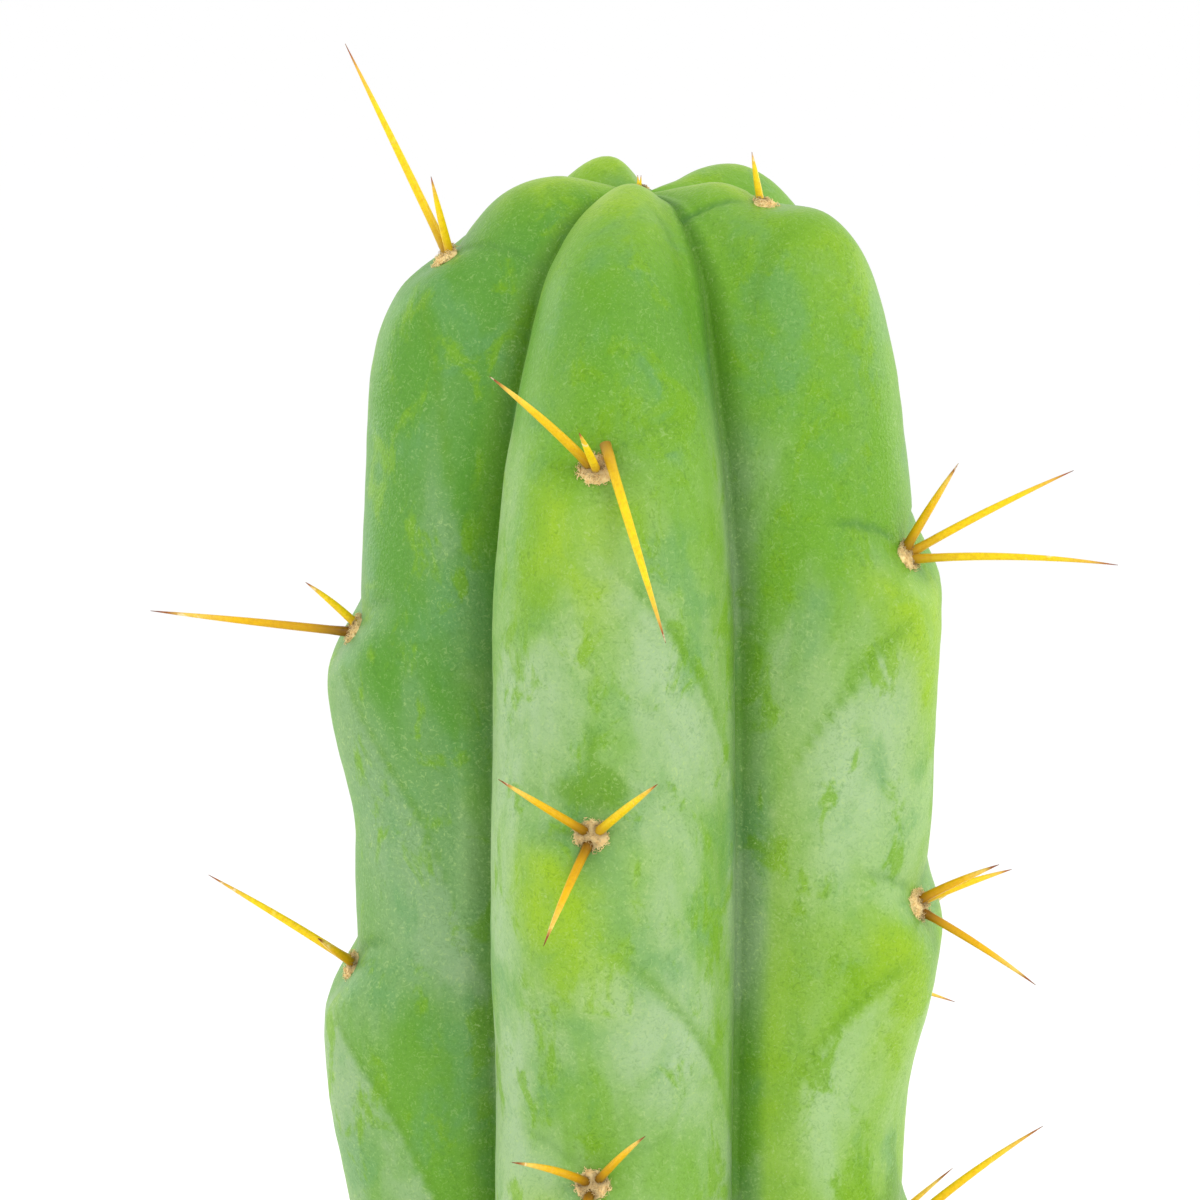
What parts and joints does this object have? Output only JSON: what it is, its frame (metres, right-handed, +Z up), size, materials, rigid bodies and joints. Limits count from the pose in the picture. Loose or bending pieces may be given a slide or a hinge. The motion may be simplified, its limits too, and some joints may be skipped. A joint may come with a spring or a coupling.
{
  "type": "potted tall cactus",
  "caption": "Tall columnar cactus with rounded ribs and spined areoles, standing in soil in a plain tapered clay pot with a rolled rim.",
  "frame": {"origin": "middle of the pot's foot, on the surface that it stands on", "axes": "+Z up along the stem, -Y towards the front, where one rib faces almost straight ahead, +X to the right seen from the front"},
  "size_m": [0.196, 0.196, 0.5984],
  "materials": {
    "clay": "matte unglazed terracotta",
    "soil": "dry gritty potting mix",
    "skin": "waxy glaucous green skin",
    "spine": "hard golden spine on tan felt, slightly glossy"
  },
  "bodies": {
    "root": {"pot": "clay", "soil": "soil", "stem": "skin", "spines_front_1": "spine", "spines_front_2": "spine", "spines_front_3": "spine", "spines_front_4": "spine", "spines_front_5": "spine", "spines_front_6": "spine", "spines_front_7": "spine", "spines_front_8": "spine", "spines_front_9": "spine", "spines_front_10": "spine", "spines_left_1": "spine", "spines_left_2": "spine", "spines_left_3": "spine", "spines_left_4": "spine", "spines_left_5": "spine", "spines_left_6": "spine", "spines_left_7": "spine", "spines_left_8": "spine", "spines_left_9": "spine", "spines_rear_left_1": "spine", "spines_rear_left_2": "spine", "spines_rear_left_3": "spine", "spines_rear_left_4": "spine", "spines_rear_left_5": "spine", "spines_rear_left_6": "spine", "spines_rear_left_7": "spine", "spines_rear_left_8": "spine", "spines_rear_left_9": "spine", "spines_rear_right_1": "spine", "spines_rear_right_2": "spine", "spines_rear_right_3": "spine", "spines_rear_right_4": "spine", "spines_rear_right_5": "spine", "spines_rear_right_6": "spine", "spines_rear_right_7": "spine", "spines_rear_right_8": "spine", "spines_rear_right_9": "spine", "spines_right_1": "spine", "spines_right_2": "spine", "spines_right_3": "spine", "spines_right_4": "spine", "spines_right_5": "spine", "spines_right_6": "spine", "spines_right_7": "spine", "spines_right_8": "spine", "spines_right_9": "spine"}
  },
  "joints": []
}
